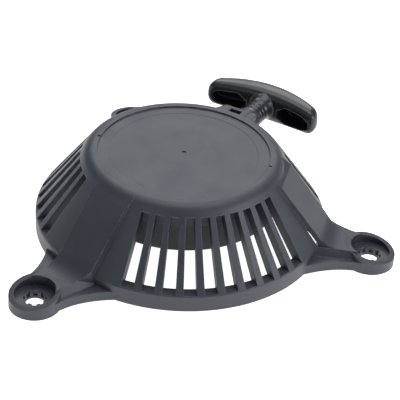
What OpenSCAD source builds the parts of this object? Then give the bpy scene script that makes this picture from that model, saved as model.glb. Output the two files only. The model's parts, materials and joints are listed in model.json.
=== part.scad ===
// Recoil (pull) starter for a small vertical-shaft engine.
// Frame: +Z up, origin on the reel axis, in the plane that the three mounting feet stand on.
// The blower side of the engine is below Z = 0. The pull rope leaves level, along +X.

/* [Housing] */
// Outer radius of the rim
rim_r = 85; // [82:0.5:100]
// Height of the upright rim band
rim_h = 9.7; // [6:0.1:14]
// Gap between the rim and the mounting plane
rim_lift = 2; // [1:0.1:3]
// Height of the flat top above the mounting plane
top_z = 52; // [50:0.5:64]
// Distance from the drum's bore out to where the sloping wall would meet the top plane
crown_gap = 1.5; // [0.5:0.1:3]
// Radius of the rounded shoulder between top and sloping wall
shoulder_r = 8; // [4:0.5:12]
// Thickness of the plain walls, square to the wall
wall = 2.6; // [2:0.1:3.4]
// Depth of the vent bars, measured level
bar_depth = 6.6; // [5:0.1:8]
// Inner radius of the reel drum
drum_r = 54; // [53:0.1:56]
// Thickness of the reel drum wall
drum_wall = 1.9; // [1.5:0.1:2.5]
// Distance from the rope down to the lower edge of the reel drum
drum_drop = 8.5; // [7:0.5:10]
// Distance from the rope up to where the reel drum wall gets thicker
drum_step_rise = 8.3; // [6:0.1:10]
// Size of that step
drum_step = 0.8; // [0.4:0.1:1]

/* [Top panel] */
// Distance from the crown in to the edge of the sunken round panel
panel_inset = 5.7; // [5.2:0.1:12]
// Depth of the sunken round panel
panel_depth = 0.8; // [0.3:0.1:1.2]
// Distance from the panel's edge in to its second, fainter step
panel_step_inset = 6.8; // [2:0.1:20]
// Depth of that second step
panel_step_depth = 0.1; // [0.1:0.05:0.4]
// Radius of the moulding gate mark in the middle
gate_r = 1.3; // [0.8:0.1:2]

/* [Vent slots] */
// Angle from one slot to the next
slot_pitch = 8; // [7.5:0.1:8.2]
// Angle that one slot opens
slot_open = 4.96; // [3:0.02:5.5]
// Slots between two mounting ears
slot_count = 10; // [6:1:10]
// Distance from the top plane down to the upper end of the slots
slot_drop = 5.5; // [5:0.1:12]
// Distance from the rim band up to the lower end of the slots
slot_lift = 0.4; // [0.2:0.1:2]
// Angle, on each side of the rope exit, that has no slots
exit_block = 17; // [16:0.5:24]
// Turn of that blank stretch towards the side where the rope comes in
exit_block_turn = 6; // [0:1:8]

/* [Mounting ears] */
// Direction of the first mounting ear
first_ear = 45; // [42:1:48]
// Distance from the rim out to the mounting holes
ear_reach = 28.4; // [26:0.1:34]
// Number of mounting ears
ear_count = 3; // [3:1:3]
// Wall of the foot around the counterbore
foot_wall = 3; // [2.4:0.1:4]
// Radius of the mounting hole
ear_hole_r = 5.6; // [4:0.1:6]
// Depth of the plain land at the bottom of the hole
ear_land = 1.6; // [1:0.1:2.5]
// Depth of the grooves between the crush ribs above the land
rib_depth = 1; // [0.5:0.1:1.4]
// Number of crush ribs in each hole
rib_count = 8; // [6:1:12]
// Radius of the counterbore for the bolt head
bore_r = 11.5; // [10:0.1:12]
// Height of the counterbore floor
bore_floor_z = 4.5; // [3:0.1:6]
// Height of the flange around each ear
ear_flange_z = 7.2; // [6:0.1:8]
// Height of the ear's top face at the counterbore, on its inner side
ear_top_z = 11.2; // [9:0.1:13]
// Half width of the ear's top face
ear_top_half = 9.6; // [8:0.1:11]
// Width by which the ear flares out where it meets the rim
ear_flare = 11.5; // [6:0.1:14]
// Half width of the buttress that runs up the sloping wall
buttress_half = 14.5; // [12:0.1:16]
// Height of the buttress face above the sloping wall at the top
buttress_proud = 0.9; // [0.5:0.1:2]
// Height of the buttress face above the sloping wall at its foot
buttress_foot = 2.6; // [1.6:0.1:3.4]
// Radius of the concave curve between the buttress and the ear's top face
ear_curve_r = 16; // [10:0.5:18]

/* [Rope exit] */
// Direction in which the rope is pulled
pull_angle = 0; // [-3:1:3]
// Distance from the top plane down to the rope
rope_drop = 21.5; // [21:0.1:23]
// Outer radius of the sleeve
sleeve_r = 8; // [7.6:0.1:8.5]
// Distance from the sloping wall, at the rope's height, to the outer end of the sleeve
sleeve_reach = 12.8; // [12:0.1:20]
// Outer radius of the guide bush
bush_r = 5.5; // [5:0.1:6]
// Length of the guide bush inside the sleeve
bush_l = 13; // [10:0.5:14]
// Thickness of the guide bush flange
bush_flange = 1.5; // [1:0.1:2]
// Length of the sleeve outside the rope tunnel box
sleeve_out = 3; // [1:0.5:5]
// Reach of the tunnel box to the side where the rope comes in
box_left = 15; // [13:0.5:17]
// Reach of the tunnel box to the other side
box_right = 7; // [6.4:0.1:9]

/* [Rope] */
// Diameter of the pull rope
rope_d = 4; // [3.5:0.1:4.2]
// Gap between neighbouring turns of the rope
rope_gap = 0.3; // [0.2:0.05:0.4]
// Distance from the reel's edge in to the middle of the outermost turn of rope
wound_inset = 5.6; // [4:0.1:7]
// Radius at which the rope bends round the mouth of the guide bush
bend_r = 12; // [10:0.5:14]
// Distance from the sleeve's end back to the corner of that bend
bend_back = 16; // [15:0.5:17]
// Radius of the knots over the diameter of the rope
knot_share = 0.9; // [0.85:0.01:1]

/* [Reel] */
// Gap between the reel and the drum
reel_gap = 2; // [1:0.1:3]
// Thickness of each reel flange
reel_flange = 2; // [1.5:0.1:2.2]
// Play of the rope between the flanges
groove_play = 1; // [0.6:0.1:1.2]
// Least distance from the arbor out to the rope, which holds the knot
core_wall = 9.5; // [9:0.1:11]
// Wall of the arbor that the mainspring hooks on
arbor_wall = 3.35; // [3:0.05:5]
// Radius of the centre post that the reel turns on
post_r = 9; // [8:0.1:9.5]
// Running clearance between reel and post, on the radius
run_gap = 0.05; // [0.03:0.01:0.08]
// Radius of the deck that carries the pawls
deck_r = 33; // [32.6:0.1:34]
// Distance from the reel's lower flange down to the underside of the pawl deck
deck_drop = 2; // [1.6:0.1:2.4]

/* [Mainspring] */
// Gap between the spring keeper and the drum
keeper_gap = 3; // [2:0.1:4]
// Sheet thickness of the spring keeper
keeper_t = 0.8; // [0.6:0.1:1]
// Width of the spring strip
strip_w = 8; // [7:0.1:8.4]
// Thickness of the spring strip
strip_t = 0.7; // [0.5:0.05:0.8]
// Pitch of the packed outer coils
coil_pitch = 1.6; // [1.4:0.05:1.8]
// Number of packed outer coils
coil_count = 9; // [6:1:10]
// Number of wider inner turns
inner_turns = 1.5; // [1.5:1:2.5]
// Gap between the spring strip and the arbor or the keeper's wall
spring_gap = 0.6; // [0.4:0.1:1]

/* [Pawls and drive plate] */
// Distance from the deck's edge in to the pawl pivots
pivot_inset = 9; // [8.5:0.1:9.5]
// Radius of the pawl pivot posts
pivot_post_r = 2.2; // [1.8:0.1:2.4]
// Length of a pawl from its pivot to its tip
pawl_l = 16; // [15:0.1:16.5]
// Thickness of a pawl
pawl_t = 3.6; // [3:0.1:3.8]
// Angle between a folded pawl and the outward direction
pawl_fold = 75; // [73:1:77]
// Angle that a pawl swings out
pawl_swing = 30; // [24:1:32]
// Distance from the pivot to the pin that the drive plate pushes
pin_at = 6; // [5.5:0.1:6.2]
// Radius of that pin
pin_r = 1.4; // [1.2:0.1:1.5]
// Distance from the deck's edge in to the drive plate's edge
plate_inset = 1; // [0.6:0.1:1.4]
// Thickness of the drive plate
plate_t = 3; // [2.4:0.1:3.2]

/* [Brake and centre screw] */
// Radius of the nose of the post that the drive plate turns on
nose_r = 5; // [4.6:0.1:5.4]
// Wire diameter of the brake spring
brake_wire = 1; // [0.8:0.1:1.2]
// Turns of the brake spring
brake_turns = 2.5; // [2:0.5:3]
// Radius of the screw thread
screw_r = 3; // [2.5:0.1:3.2]
// Length of the nose below the drive plate
nose_out = 4.85; // [4.5:0.05:5.4]
// Gap that is left between pieces stacked on each other
stack_gap = 0.02; // [0.01:0.01:0.05]

/* [Handle] */
// Length of the grip, tip to tip
grip_l = 76; // [66:1:90]
// Height of the grip
grip_h = 21; // [18:0.5:24]
// Depth of the grip at its middle
grip_d = 17; // [15:0.5:19]
// Amount by which the outer face of the grip sweeps back towards its tips
grip_sweep = 11; // [8:0.5:12]
// Amount by which the inner face of the grip sweeps back towards its tips
grip_back = 4.5; // [3:0.5:5]
// Height that the grip loses towards each tip
grip_taper = 6; // [4:0.5:7]
// Radius of the stem where it meets the guide bush
stem_r = 7.2; // [6.6:0.1:7.5]
// Length of the stem
stem_l = 16; // [13:0.5:20]
// Wall left around the two hollows of the grip
grip_wall = 2.8; // [2.2:0.1:3.2]
// Gap between the handle at rest and the guide bush
rest_gap = 0.3; // [0.2:0.05:0.5]

/* [Hidden] */
$fn = 96;
eps = 0.01;
// overlap that joins one stretch of rope to the next
lap = 0.05;

rim_low = rim_lift;
rim_top = rim_low + rim_h;
rope_z = top_z - rope_drop;
crown_r = drum_r + crown_gap;
drum_out_r = drum_r + drum_wall + drum_step;
drum_low_z = rope_z - drum_drop;
drum_step_z = rope_z + drum_step_rise;
slope_run = rim_r - crown_r;
slope_rise = top_z - rim_top;
slope_angle = atan(slope_rise / slope_run);
// level thickness of a sloping wall whose thickness square to itself is wall
wall_level = wall / sin(slope_angle);
// outer radius of the sloping wall at height z
function slope_r(z) = rim_r - (z - rim_top) * slope_run / slope_rise;
// height of the sloping wall at radius r
function slope_z(r) = rim_top + (rim_r - r) * slope_rise / slope_run;
shoulder_cut = shoulder_r * tan(slope_angle / 2);
ceiling_z = top_z - wall - panel_depth + 0.4;
panel_r = crown_r - panel_inset;
panel_step_r = panel_r - panel_step_inset;

ear_r = rim_r + ear_reach;
foot_r = bore_r + foot_wall;
rib_root_r = ear_hole_r + rib_depth;
ear_step = 360 / ear_count;
slot_span = (slot_count - 1) * slot_pitch;
slot_top_z = top_z - slot_drop;

// rope and reel sizes
rope_r = rope_d / 2;
rope_pitch = rope_d + rope_gap;
knot_r = rope_d * knot_share;
reel_r = drum_r - reel_gap;
arbor_r = post_r + run_gap + arbor_wall;
wound_r = reel_r - wound_inset;
rope_seat = rope_r + 0.5;
rope_turns = floor((wound_r - rope_seat - arbor_r - core_wall) / rope_pitch + eps);
half_turns = 2 * rope_turns;
core_r = wound_r - rope_turns * rope_pitch - rope_seat;
groove_w = rope_d + groove_play;

// reel heights
groove_low = rope_z - groove_w / 2;
groove_high = rope_z + groove_w / 2;
reel_low = groove_low - reel_flange;
reel_high = groove_high + reel_flange;
deck_z = reel_low - deck_drop;
pivot_r = deck_r - pivot_inset;
plate_r = deck_r - plate_inset;
deck_gap = 0.25;
// wire of the pawl springs, which lie between deck and pawl
pawl_wire = 0.8;
pawl_high = deck_z - pawl_wire - 2 * deck_gap;
pawl_low = pawl_high - pawl_t;
plate_high = pawl_low - deck_gap;
plate_low = plate_high - plate_t;
nose_z = plate_low - nose_out;

// keeper and spring
keeper_r = drum_r - keeper_gap;
keeper_low = reel_high + 1;
keeper_high = ceiling_z - stack_gap;
strip_low = keeper_low + (keeper_high - keeper_t - keeper_low - strip_w) / 2;
arbor_high = keeper_high - keeper_t - 0.4;
strip_out_r = keeper_r - keeper_t - spring_gap - strip_t / 2;

// rope geometry
sleeve_end = slope_r(rope_z) + sleeve_reach;
box_end = sleeve_end - sleeve_out;
bend_at = sleeve_end - bend_back;
leave_turn = acos(wound_r / bend_at);
leave_angle = pull_angle + leave_turn;
bend_angle = 90 - leave_turn;
bend_cut = bend_r * tan(bend_angle / 2);
run_l = sqrt(bend_at * bend_at - wound_r * wound_r);
bush_in = sleeve_end - bush_l;
bush_hole_r = rope_r + 0.6;
stem_start = sleeve_end + bush_flange + rest_gap;
grip_near = stem_start + stem_l;
grip_far = grip_near + grip_d;
knot_seat = grip_far - 9;
knot_pocket_r = knot_r + 1.4;
stub_bend_r = 6;
stub_l = 2;
// distance from the middle of the reel knot to the end of the rope inside it
knot_grip = 1.2;
reel_knot_x = wound_r - half_turns * rope_pitch / 2 - stub_bend_r - stub_l - knot_grip;

// polar point
function polar(r, a) = [r * cos(a), r * sin(a)];

// lays an upright extrusion on its side: local X stays radial, local Y becomes Z
module side_on(half) {
  rotate([90, 0, 0])
    translate([0, 0, -half])
      linear_extrude(2 * half)
        children();
}

// ---------------------------------------------------------------- housing

function arc_points(cx, cy, r, a0, a1, n) =
  [for (i = [0:n]) [cx + r * cos(a0 + (a1 - a0) * i / n), cy + r * sin(a0 + (a1 - a0) * i / n)]];

// outer outline of the bell, from the axis to the rim
module bell_outline() {
  round_x = crown_r - shoulder_cut;
  polygon(concat(
    [[0, rim_low], [0, top_z]],
    arc_points(round_x, top_z - shoulder_r, shoulder_r, 90, 90 - slope_angle, 10),
    [[rim_r - 0.6, rim_top + 0.6 * tan(slope_angle)], [rim_r, rim_top - 0.4], [rim_r, rim_low]]
  ));
}

// hollow inside the drum and between drum and sloping wall
module bell_hollow() {
  inner_rim = rim_r - wall;
  polygon([[0, rim_low - 1], [0, ceiling_z], [drum_r, ceiling_z], [drum_r, drum_low_z],
           [drum_r + drum_wall, drum_low_z], [drum_r + drum_wall, drum_step_z],
           [drum_out_r, drum_step_z], [drum_out_r, slope_z(drum_out_r + wall_level)],
           [rim_r - wall_level, rim_top], [inner_rim, rim_top - wall], [inner_rim, rim_low - 1]]);
}

// depth to which the vent bars and their layer sink into the walls they join
sink = 0.3;

// inner layer that makes the vent bars deep
module vent_layer() {
  low = rim_top - wall - 2 * sink;
  root = drum_out_r - 2 * sink;
  polygon([[rim_r - bar_depth, low], [rim_r - bar_depth, rim_top],
           [root, slope_z(root + bar_depth)], [root, slope_z(root + wall_level) + sink],
           [rim_r - wall_level + sink, rim_top], [rim_r - wall + sink, rim_top - wall],
           [rim_r - wall + sink, low]]);
}

module vent_cutter() {
  r0 = drum_out_r - sink;
  r1 = rim_r + 5;
  h = slot_open / 2;
  translate([0, 0, rim_top + slot_lift])
    linear_extrude(slot_top_z - rim_top - slot_lift)
      polygon([polar(r0, -h), polar(r1, -h), polar(r1, h), polar(r0, h)]);
}

// half width of the ear flange at distance x from the axis
flare_end = ear_r - 1.4;
flare_run = 30;
// slope of the ear's sides, from the level, and their spread towards the rim
ear_slant = 52;
ear_splay = 9;
function flange_half(x) = foot_r + ear_flare * pow((flare_end - x) / flare_run, 2);

module ear_plan() {
  x0 = rim_r - wall - 4;
  n = 14;
  right = [for (i = [0:n]) let (x = x0 + (flare_end - x0) * i / n) [x, -flange_half(x)]];
  left = [for (i = [n:-1:0]) let (x = x0 + (flare_end - x0) * i / n) [x, flange_half(x)]];
  polygon(concat(right, left));
}

// side outline of the buttress and of the ear's top face, joined by one concave curve
module ear_ridge_outline() {
  corner_x = slope_r(ear_top_z) + buttress_foot / sin(slope_angle);
  curve_x = corner_x + ear_curve_r * tan(slope_angle / 2);
  polygon(concat(
    [[rim_r - 6, ear_flange_z - 1], [crown_r - shoulder_cut - 6, ceiling_z - 2],
     [crown_r - shoulder_cut + 2.2, top_z - 0.9],
     [slope_r(top_z - 5.5) + buttress_proud, top_z - 5.5]],
    arc_points(curve_x, ear_top_z + ear_curve_r, ear_curve_r, 270 - slope_angle, 270, 10),
    [[ear_r - 2, ear_top_z], [ear_r - 2, ear_flange_z - 1]]));
}

// plan of the same two faces: as wide as the buttress at the rim, narrow at the counterbore
module ear_ridge_plan() {
  run = ear_r - bore_r - rim_r;
  n = 10;
  edge = [for (i = [0:n]) let (t = i / n)
    [rim_r + run * t, ear_top_half + (buttress_half - ear_top_half) * pow(1 - t, 2)]];
  polygon(concat([[0, -buttress_half], [ear_r, -ear_top_half], [ear_r, ear_top_half]],
                 [for (i = [n:-1:0]) edge[i]], [[0, buttress_half]]));
}

module ear_body() {
  // flange with concave sides, a little lower than the rim
  flange_low = rim_low - 0.5;
  translate([0, 0, flange_low])
    linear_extrude(ear_flange_z - flange_low)
      ear_plan();
  // foot
  intersection() {
    translate([ear_r, 0, 0])
      cylinder(r = foot_r, h = ear_top_z + 2);
    side_on(foot_r + 1)
      polygon([[ear_r - foot_r - 1, 0], [ear_r - foot_r - 1, ear_top_z + 0.2],
               [ear_r - bore_r, ear_top_z], [ear_r + foot_r, ear_flange_z - 1.2],
               [ear_r + foot_r, 0]]);
  }
  // buttress and top face
  intersection() {
    side_on(buttress_half + 1)
      ear_ridge_outline();
    linear_extrude(top_z)
      ear_ridge_plan();
  }
  // sides that slope down from the top face to the flange
  difference() {
    translate([rim_r - 8, -foot_r - 8, ear_flange_z - 1])
      cube([ear_r - rim_r + 7, 2 * foot_r + 16, ear_top_z - ear_flange_z + 1 - 2 * eps]);
    for (side = [0, 1])
      mirror([0, side, 0])
        translate([ear_r - bore_r, ear_top_half, ear_top_z])
          rotate([0, 0, -ear_splay])
            rotate([90 - ear_slant, 0, 0])
              translate([-60, 0, -30])
                cube([90, 40, 60]);
  }
}

module ear_cuts() {
  // hollow under the ear, so that its walls stay even
  pocket_end = ear_r - bore_r - wall;
  pocket_half = ear_top_half - wall + 0.6;
  side_on(pocket_half)
    polygon([[rim_r + 0.8, -1], [rim_r + 0.8, ear_top_z - wall], [pocket_end, ear_top_z - wall - 0.4],
             [pocket_end, -1]]);
  translate([ear_r, 0, 0]) {
    translate([0, 0, -1])
      cylinder(r = ear_hole_r, h = 20);
    translate([0, 0, bore_floor_z])
      cylinder(r = bore_r, h = 40);
    // roots between the crush ribs
    translate([0, 0, ear_land])
      for (i = [0:rib_count - 1])
        rotate(i * 360 / rib_count)
          linear_extrude(bore_floor_z)
            polygon(concat(
              [polar(ear_hole_r - 1, -360 / rib_count * 0.30), polar(ear_hole_r - 1, 360 / rib_count * 0.30)],
              [for (k = [2:-1:-2]) polar(rib_root_r, k * 360 / rib_count * 0.13)]));
  }
}

// hollow of the buttress, open towards the inside of the bell
module buttress_hollow() {
  side_on(buttress_half - wall)
    polygon([[drum_out_r + sink, slope_z(drum_out_r + wall_level) + 0.4],
             [slope_r(rope_z) - wall_level + 1.6, rope_z],
             [rim_r - wall_level + 2.6, ear_flange_z + 5], [rim_r - wall - 0.4, ear_flange_z],
             [rim_r - wall - 0.4, rim_low - 1], [rim_r - wall_level - 4, rim_low - 1],
             [drum_out_r + sink, rope_z]]);
}

// frame of the rope exit: X along the pull, Z on the rope
module at_exit() {
  rotate(pull_angle)
    translate([0, 0, rope_z])
      children();
}

module exit_box() {
  back = drum_r + drum_wall / 4;
  low = -rope_r - wall - 3;
  high = sleeve_r - 0.5;
  flare = 4;
  translate([0, 0, low])
    linear_extrude(high - low)
      polygon([[back, -box_right], [box_end - 1, -box_right], [box_end, 1 - box_right],
               [box_end, box_left - 1], [box_end - 1.2, box_left], [box_end - 2 * flare, box_left + flare],
               [back, box_left + 3 * flare]]);
}

module exit_sleeve() {
  rotate([0, 90, 0])
    translate([0, 0, box_end - 14])
      cylinder(r = sleeve_r, h = sleeve_out + 14);
}

// room for the rope from the winding to the bush, wide enough for its outermost and innermost turn
module exit_clear() {
  room = rope_r + 1.6;
  // side distance of the rope at the drum's bore, and the room beside it there
  side = (bend_at - drum_r + 4) * tan(bend_angle) + room / cos(bend_angle);
  translate([0, 0, -room])
    linear_extrude(2 * room)
      polygon([[drum_r - 6, 6 - room], [bend_at - 4, -room], [bush_in + sink, -room],
               [bush_in + sink, room], [bend_at - 1, room + 1.2], [drum_r - 4, side],
               [drum_r - 9, side]]);
}

module post() {
  translate([0, 0, nose_z])
    cylinder(r = nose_r, h = plate_high + 0.5 - nose_z + 1);
  translate([0, 0, plate_high + 0.4])
    cylinder(r = post_r, h = ceiling_z - plate_high);
}

module insert_room() {
  translate([0, 0, plate_high + 1.6])
    cylinder(r = screw_r + 1.6, h = 14);
  translate([0, 0, nose_z - 1])
    cylinder(r = screw_r + 0.1, h = 22);
}

module top_marks() {
  translate([0, 0, top_z - panel_depth])
    cylinder(r = panel_r, h = panel_depth + 1);
  translate([0, 0, top_z - panel_depth - panel_step_depth])
    cylinder(r = panel_step_r, h = 2);
  translate([0, 0, top_z - panel_depth - panel_step_depth - 0.5])
    cylinder(r = gate_r, h = 2);
  for (a = [first_ear + 240, first_ear + 60])
    rotate(a)
      translate([panel_r - 0.4, -0.6, top_z - panel_depth])
        cube([2.4, 1.2, 2]);
}

function slot_angles() =
  [for (e = [0:ear_count - 1], i = [0:slot_count - 1])
    let (a = first_ear + (e + 0.5) * ear_step - slot_span / 2 + i * slot_pitch,
         d = abs(((a - pull_angle - exit_block_turn + 540) % 360) - 180))
    if (d > exit_block) a];

module housing() {
  color([0.20, 0.22, 0.25])
    difference() {
      union() {
        difference() {
          union() {
            rotate_extrude()
              bell_outline();
            for (e = [0:ear_count - 1])
              rotate(first_ear + e * ear_step)
                ear_body();
          }
          rotate_extrude()
            bell_hollow();
          for (e = [0:ear_count - 1])
            rotate(first_ear + e * ear_step)
              buttress_hollow();
        }
        for (e = [0:ear_count - 1])
          rotate(first_ear + (e + 0.5) * ear_step - slot_span / 2 - slot_pitch / 2)
            rotate_extrude(angle = slot_span + slot_pitch)
              vent_layer();
        post();
        at_exit()
          exit_box();
        at_exit()
          exit_sleeve();
      }
      for (a = slot_angles())
        rotate(a)
          vent_cutter();
      for (e = [0:ear_count - 1])
        rotate(first_ear + e * ear_step)
          ear_cuts();
      at_exit()
        exit_clear();
      at_exit()
        rotate([0, 90, 0])
          translate([0, 0, bush_in])
            cylinder(r = bush_r + stack_gap, h = bush_l + 1);
      // slot in the box top, through which the rope is threaded
      at_exit()
        translate([box_end - 6.6, 2, rope_r])
          cube([4, 8, 12]);
      insert_room();
      top_marks();
    }
}

module post_insert() {
  color([0.78, 0.64, 0.35])
    translate([0, 0, plate_high + 1.7])
      difference() {
        cylinder(r = screw_r + 1.55, h = 12);
        translate([0, 0, -1])
          cylinder(r = screw_r + 0.04, h = 20);
      }
}

module guide_bush() {
  flare = 3.5;
  color([0.62, 0.64, 0.66])
    at_exit()
      rotate([0, 90, 0])
        rotate_extrude()
          polygon([[bush_r - 0.6, bush_in + 0.2], [bush_r, bush_in + 0.8],
                   [bush_r, sleeve_end + 0.02], [sleeve_r - 0.7, sleeve_end + 0.02],
                   [sleeve_r - 0.4, sleeve_end + 0.4], [sleeve_r - 0.4, sleeve_end + bush_flange - 0.4],
                   [sleeve_r - 0.9, sleeve_end + bush_flange], [bush_hole_r + 1, sleeve_end + bush_flange],
                   [bush_hole_r, sleeve_end + bush_flange - 1], [bush_hole_r, bush_in + 0.2 + flare],
                   [bush_hole_r + 0.6, bush_in + 0.2 + flare * 0.55],
                   [bush_hole_r + 1.7, bush_in + 0.2]]);
}

// ---------------------------------------------------------------- mainspring and keeper

module spring_keeper() {
  color([0.72, 0.73, 0.75])
    difference() {
      translate([0, 0, keeper_low])
        cylinder(r = keeper_r, h = keeper_high - keeper_low);
      translate([0, 0, keeper_low - 1])
        cylinder(r = keeper_r - keeper_t, h = keeper_high - keeper_low + 1 - keeper_t);
      translate([0, 0, keeper_low])
        cylinder(r = arbor_r + 1.5, h = 30);
      // slot for the outer end of the spring
      translate([keeper_r - 3, -1.2, keeper_low - 1])
        cube([6, 2.4, strip_low + strip_w + 0.4 - keeper_low + 1]);
    }
}

// radius of the spring strip's middle at turn t, counted inward from its outer end
spring_turns = coil_count + inner_turns;
strip_in_r = arbor_r + spring_gap + strip_t / 2;
packed_in_r = strip_out_r - coil_count * coil_pitch;
function strip_r(t) = t <= coil_count
  ? strip_out_r - t * coil_pitch
  : packed_in_r + (strip_in_r - packed_in_r) * pow((t - coil_count) / inner_turns, 0.9);

module mainspring() {
  steps = 28;
  n = floor(spring_turns * steps);
  color([0.45, 0.50, 0.58])
    translate([0, 0, strip_low])
      linear_extrude(strip_w)
        union() {
          polygon(concat(
            [for (i = [0:n]) polar(strip_r(i / steps) + strip_t / 2, i * 360 / steps)],
            [for (i = [n:-1:0]) polar(strip_r(i / steps) - strip_t / 2, i * 360 / steps)]));
          // outer end turned out through the keeper
          polygon([[strip_out_r - strip_t / 2, 0], [keeper_r + 1.4, 0], [keeper_r + 1.4, strip_t],
                   [strip_out_r - strip_t / 2, strip_t]]);
          // inner end turned in to hook the arbor
          rotate(spring_turns * 360)
            translate([arbor_r - 1.9, -strip_t])
              square([strip_in_r - arbor_r + 1.9 + strip_t / 2, strip_t]);
        }
}

// ---------------------------------------------------------------- reel

function pawl_pin(s) = [pivot_r + pin_at * cos(s - pawl_fold), pin_at * sin(s - pawl_fold)];

// rope centre line on the reel: half turn k, counted from the outside
module wound_half(k, grow) {
  r = wound_r - k * rope_pitch / 2;
  translate([k % 2 == 0 ? 0 : -rope_pitch / 2, 0, 0])
    rotate(k % 2 == 0 ? 0 : 180)
      rotate_extrude(angle = 180)
        translate([r, 0])
          circle(r = rope_r + grow, $fn = 32);
}

// inner end of the rope, bent in towards its knot
module wound_stub(grow) {
  x = wound_r - half_turns * rope_pitch / 2;
  translate([x - stub_bend_r, 0, 0])
    rotate_extrude(angle = 90)
      translate([stub_bend_r, 0])
        circle(r = rope_r + grow, $fn = 32);
  translate([x - stub_bend_r - stub_l, stub_bend_r, 0])
    rotate([0, 90, 0])
      cylinder(r = rope_r + grow, h = stub_l + eps, $fn = 32);
}

// half turns run inward anticlockwise from the leaving point
module on_winding() {
  translate([0, 0, rope_z])
    rotate(leave_angle)
      children();
}

module reel() {
  hub_r = post_r + run_gap;
  ring_w = 2.4;
  window = 74;
  color([0.16, 0.17, 0.18])
    difference() {
      union() {
        rotate_extrude()
          polygon([[hub_r, deck_z], [deck_r, deck_z], [deck_r, reel_low], [reel_r - 1, reel_low],
                   [reel_r, reel_low + 0.6], [reel_r, groove_low - 0.5], [reel_r - 1, groove_low],
                   [core_r, groove_low], [core_r, groove_high], [reel_r - 1, groove_high],
                   [reel_r, groove_high + 0.5], [reel_r, reel_high - 0.6], [reel_r - 1, reel_high],
                   [arbor_r, reel_high], [arbor_r, arbor_high - 0.6], [arbor_r - 0.6, arbor_high],
                   [hub_r, arbor_high]]);
        // ring around the pawls, open where they swing out
        difference() {
          translate([0, 0, plate_high + 0.2])
            cylinder(r = deck_r, h = deck_z - plate_high);
          translate([0, 0, plate_high - 1])
            cylinder(r = deck_r - ring_w, h = deck_z - plate_high + 2);
          for (a = [0, 180])
            rotate(a - window + 6)
              translate([0, 0, plate_high - 1])
                rotate_extrude(angle = window)
                  translate([deck_r - ring_w - 3, 0])
                    square([ring_w + 6, deck_z - plate_high + 1 - eps]);
        }
        // pivot posts and stop lugs of the two pawls
        for (a = [0, 180])
          rotate(a)
            translate([pivot_r, 0, plate_high + 0.3])
              cylinder(r = pivot_post_r, h = deck_z - plate_high);
      }
      // pocket and channel of the inner rope knot
      on_winding() {
        wound_stub(0.35);
        translate([reel_knot_x, stub_bend_r, -knot_r])
          cylinder(r = knot_r + 0.5, h = 30);
      }
      // notch for the inner end of the mainspring
      rotate(spring_turns * 360)
        translate([arbor_r - 2.3, -strip_t - 0.4, strip_low - 0.4])
          cube([6, strip_t + 0.8, 30]);
      // lightening holes
      for (i = [0:5])
        rotate(leave_angle + 90 + i * 60)
          translate([40, 0, reel_low - 1])
            cylinder(r = 4.5, h = reel_high - reel_low + 2);
    }
}

module rope_winding() {
  color([0.90, 0.90, 0.88])
    on_winding() {
      for (k = [0:half_turns - 1])
        wound_half(k, 0);
      wound_stub(0);
    }
}

// round knot turned about the rope, which enters it along X up to the distance floor_x from its middle
module knot_ball(r, floor_x) {
  hole = rope_r + 2 * stack_gap;
  mouth = acos(hole / r);
  n = 20;
  rotate([0, 90, 0])
    rotate_extrude()
      polygon(concat([[0, -r]], arc_points(0, 0, r, -90 + 90 / n, mouth, n),
                     [[hole, floor_x], [0, floor_x]]));
}

module rope_reel_knot() {
  color([0.90, 0.90, 0.88])
    on_winding()
      translate([reel_knot_x, stub_bend_r, 0])
        knot_ball(knot_r - 0.4, knot_grip - 2 * stack_gap);
}

module rope_inner_run() {
  color([0.90, 0.90, 0.88]) {
    // straight run from the winding to the bend
    on_winding()
      translate([wound_r, -run_l + bend_cut - lap, 0])
        rotate([-90, 0, 0])
          cylinder(r = rope_r, h = run_l - bend_cut + lap - 0.2, $fn = 32);
    // bend round the mouth of the bush
    at_exit()
      translate([bend_at + bend_cut, bend_r, 0])
        rotate(270 - bend_angle)
          rotate_extrude(angle = bend_angle)
            translate([bend_r, 0])
              circle(r = rope_r + lap / 2, $fn = 32);
    // through the bush
    at_exit()
      rotate([0, 90, 0])
        translate([0, 0, bend_at + bend_cut - lap])
          cylinder(r = rope_r, h = sleeve_end + bush_flange - bend_at - bend_cut + lap, $fn = 32);
  }
}

module rope_outer_run() {
  color([0.90, 0.90, 0.88])
    at_exit()
      rotate([0, 90, 0])
        translate([0, 0, sleeve_end + bush_flange + 0.05])
          cylinder(r = rope_r, h = knot_seat + 3 - sleeve_end - bush_flange - 0.05, $fn = 32);
}

// ---------------------------------------------------------------- pawls and drive plate

module pawl_shape() {
  boss_r = pivot_post_r + 2.1;
  difference() {
    union() {
      circle(r = boss_r);
      // arm along the folded direction, hooked at its tip
      rotate(-pawl_fold)
        polygon([[0, -boss_r + 0.6], [8, -boss_r + 0.9], [pawl_l - 3.4, -3.2], [pawl_l, -1.6],
                 [pawl_l, 1.4], [pawl_l - 4, 2.6], [7, boss_r - 0.6], [0, boss_r - 0.2]]);
    }
    circle(r = pivot_post_r + run_gap + 0.03);
  }
}

module pawl(a) {
  color([0.70, 0.71, 0.73])
    rotate(a)
      translate([pivot_r, 0, 0]) {
        translate([0, 0, pawl_low])
          linear_extrude(pawl_t)
            pawl_shape();
        // pin that runs in the drive plate
        rotate(-pawl_fold)
          translate([pin_at, 0, plate_low + 0.6])
            cylinder(r = pin_r, h = pawl_low - plate_low);
      }
}

module pawl_1() {
  pawl(0);
}

module pawl_2() {
  pawl(180);
}

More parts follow.
